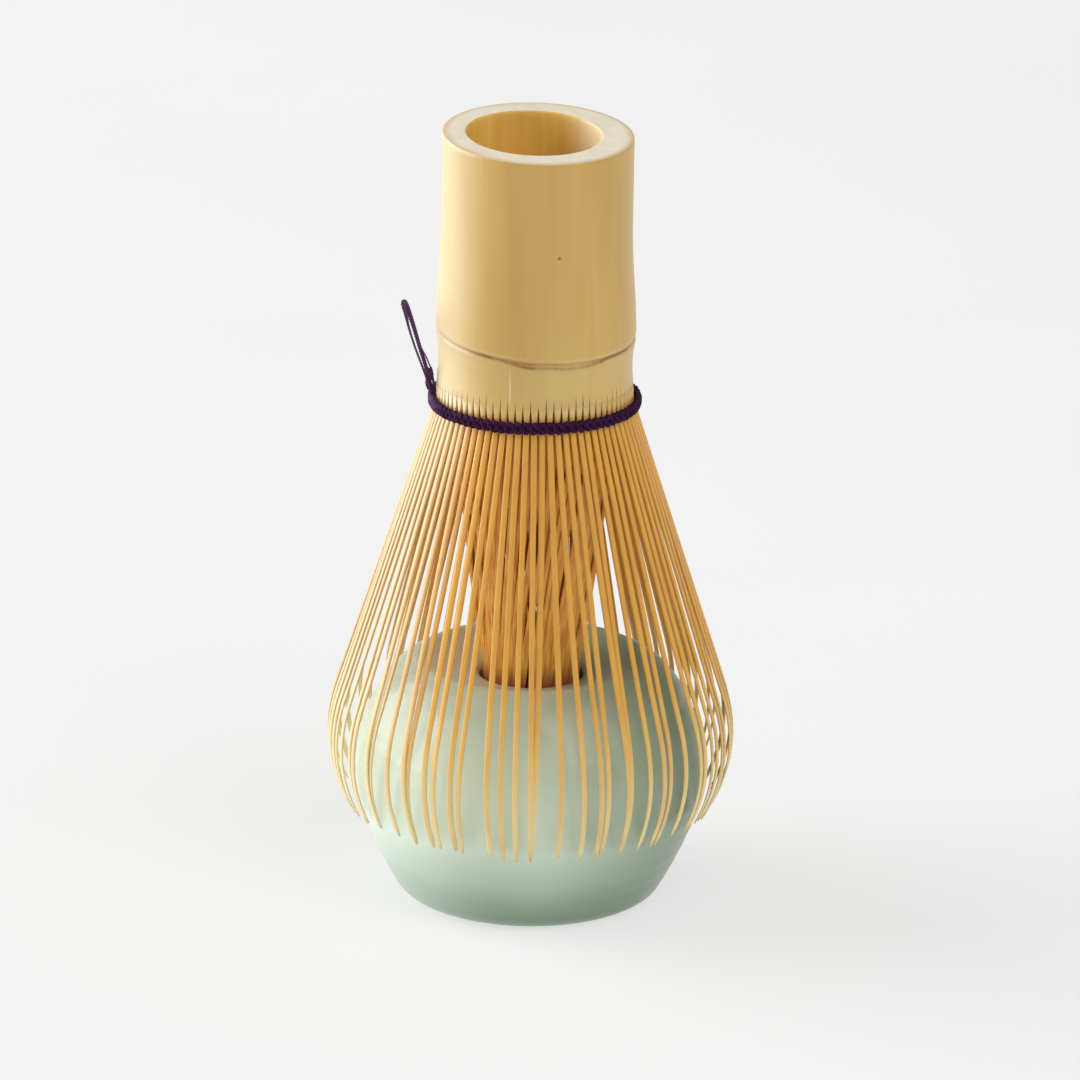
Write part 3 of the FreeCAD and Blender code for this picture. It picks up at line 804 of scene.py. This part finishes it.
def pot_line(corners, step=0.45):
    """(radius, height) points along the corners, given in millimetres, with arcs that bulge outwards."""
    line = []
    for (r0, z0, arc), (r1, z1, _) in zip(corners, corners[1:]):
        chord = math.hypot(r1 - r0, z1 - z0)
        count = max(1, round(chord / step))
        for k in range(count):
            t = k / count
            r, z = r0 + (r1 - r0) * t, z0 + (z1 - z0) * t
            if arc is not None:
                half = chord / 2
                off_middle = (t - 0.5) * chord
                rise = math.sqrt(arc * arc - off_middle * off_middle) - math.sqrt(arc * arc - half * half)
                way = 1 if z1 > z0 or r1 < r0 else -1
                r += rise * (z1 - z0) / chord * way
                z -= rise * (r1 - r0) / chord * way
            line.append((r * MM, z * MM))
    r, z, _ = corners[-1]
    line.append((r * MM, z * MM))
    return line


pot_around = 256  # points in a ring
finger_pitch, finger_depth, pot_wander = 2.6 * MM, 0.028 * MM, 0.07 * MM


def pot_ring(radius, height):
    """A ring of the pot, very slightly out of round and marked by the fingers that drew it up."""
    ring = []
    for k in range(pot_around):
        azimuth = 2 * math.pi * k / pot_around
        c, s = math.cos(azimuth), math.sin(azimuth)
        spiral = height / finger_pitch + k / pot_around
        finger = finger_depth * math.sin(2 * math.pi * spiral) * min(1.0, radius / (12.0 * MM))
        wander = pot_wander * noise.noise(Vector((c * 0.9, s * 0.9, height * 35.0)))
        reach = radius + (finger + wander if radius > 5.0 * MM and height > 0.6 * MM else 0.0)
        ring.append(Vector((reach * c, reach * s, height)))
    return ring


glaze_finish, nodes, link, shader = new_finish("celadon_glaze")
place = nodes.new("ShaderNodeTexCoord")
apart = nodes.new("ShaderNodeSeparateXYZ")
link(place.outputs["Object"], apart.inputs["Vector"])
# The glaze colour is read off the height, jittered by noise: darker down towards the foot, and darker over
# the dished crown as painted shade where the whisk shades it.
level_noise = mottle(nodes, link, 75.0, 2.0, (1.0, 1.0, 0.6))
level_up = reckon(nodes, link, "MULTIPLY_ADD", level_noise, 0.003, apart.outputs["Z"])
glaze_colour = ramp(nodes, link, span(nodes, link, level_up, 0.0015, 0.041), [
    (0.0, (0.19, 0.29, 0.19)), (0.10, (0.41, 0.54, 0.41)), (0.3, (0.66, 0.78, 0.63)),
    (0.6, (0.69, 0.80, 0.65)), (0.8, (0.65, 0.76, 0.60)), (1.0, (0.56, 0.67, 0.51))])
flecks = mottle(nodes, link, 1500.0, 2.0)
fleck = span(nodes, link, flecks, 0.66, 0.76)
fleck = reckon(nodes, link, "MULTIPLY", fleck, 0.12)
glaze_colour = blended(nodes, link, fleck, glaze_colour, (0.20, 0.26, 0.18))
# Painted light and shade: the glaze is painted paler on the side towards the window at -X and darker on the
# side away from it at +X.
glaze_colour = painted_light_by_side(nodes, link, glaze_colour, (0.80, 0.88, 0.79), 0.25, 0.0)
glaze_colour = painted_light_by_side(nodes, link, (0.12, 0.19, 0.10), glaze_colour, 1.0, -1.3, 0.1)  # darker at +X
link(glaze_colour, shader.inputs["Base Color"])
shader.inputs["Roughness"].default_value = 0.30
bump(nodes, link, shader, flecks, 0.00002, 0.25)
shader.inputs["Coat Weight"].default_value = 0.12
shader.inputs["Coat Roughness"].default_value = 0.20

clay_finish, nodes, link, shader = new_finish("bare_clay_foot")
clay = mottle(nodes, link, 1400.0, 4.0)
clay_colour = ramp(nodes, link, clay, [(0.3, (0.50, 0.42, 0.32)), (0.7, (0.66, 0.58, 0.47))])
link(clay_colour, shader.inputs["Base Color"])
bump(nodes, link, shader, clay, 0.0001, 0.7)
shader.inputs["Roughness"].default_value = 0.85

pot = piece("pot", [([pot_ring(*at) for at in pot_line(pot_glazed)], 0, False),
                    ([pot_ring(*at) for at in pot_line(pot_inside)], 0, False),
                    ([pot_ring(*at) for at in pot_line(pot_foot, 0.8)], 1, False)],
            [glaze_finish, clay_finish])
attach(pot, "holder")
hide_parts("whisk_holder")


# --------------------------------------------------------------------------------------------------
# The table: a plain matt board, far larger than the whisk.  It looks near white because it gives off some
# light of its own besides what falls on it.
floor_half = 3.0
floor_mesh = bpy.data.meshes.new("floor")
floor_mesh.from_pydata([(-floor_half, -floor_half, 0.0), (floor_half, -floor_half, 0.0),
                        (floor_half, floor_half, 0.0), (-floor_half, floor_half, 0.0)], [], [(0, 1, 2, 3)])
floor_finish, nodes, link, shader = new_finish("table_board")
link(ramp(nodes, link, mottle(nodes, link, 8.0, 3.0), [(0.3, (0.27, 0.27, 0.27)), (0.7, (0.29, 0.29, 0.29))]),
     shader.inputs["Base Color"])
shader.inputs["Emission Color"].default_value = (1.0, 1.0, 1.0, 1.0)
shader.inputs["Emission Strength"].default_value = 0.62
shader.inputs["Roughness"].default_value = 0.9
shader.inputs["Specular IOR Level"].default_value = 0.1
floor_mesh.materials.append(floor_finish)
floor = bpy.data.objects.new("floor", floor_mesh)
bpy.context.scene.collection.objects.link(floor)


# --------------------------------------------------------------------------------------------------
# The light: a wide soft window to the left and a little behind, a weaker one high in front to the right, and
# a pale room all round.
def soft_light(name, place, size, power, aim=Vector((0.0, 0.0, 0.055))):
    """A square area light that faces the whisk."""
    data = bpy.data.lights.new(name, "AREA")
    data.shape = "RECTANGLE"
    data.size, data.size_y = size
    data.energy = power
    lamp = bpy.data.objects.new(name, data)
    lamp.location = place
    lamp.rotation_mode = "QUATERNION"
    lamp.rotation_quaternion = (aim - Vector(place)).to_track_quat("-Z", "Y")
    bpy.context.scene.collection.objects.link(lamp)
    return lamp


soft_light("window_light", (-1.45, 0.35, 0.55), (1.7, 1.2), 33.0)
soft_light("room_light", (0.95, -0.85, 1.35), (1.4, 1.4), 15.5)
world = bpy.data.worlds.new("room")
bpy.context.scene.world = world
world.use_nodes = True
world.node_tree.nodes["Background"].inputs["Color"].default_value = (1.0, 0.985, 0.96, 1.0)
world.node_tree.nodes["Background"].inputs["Strength"].default_value = 0.345
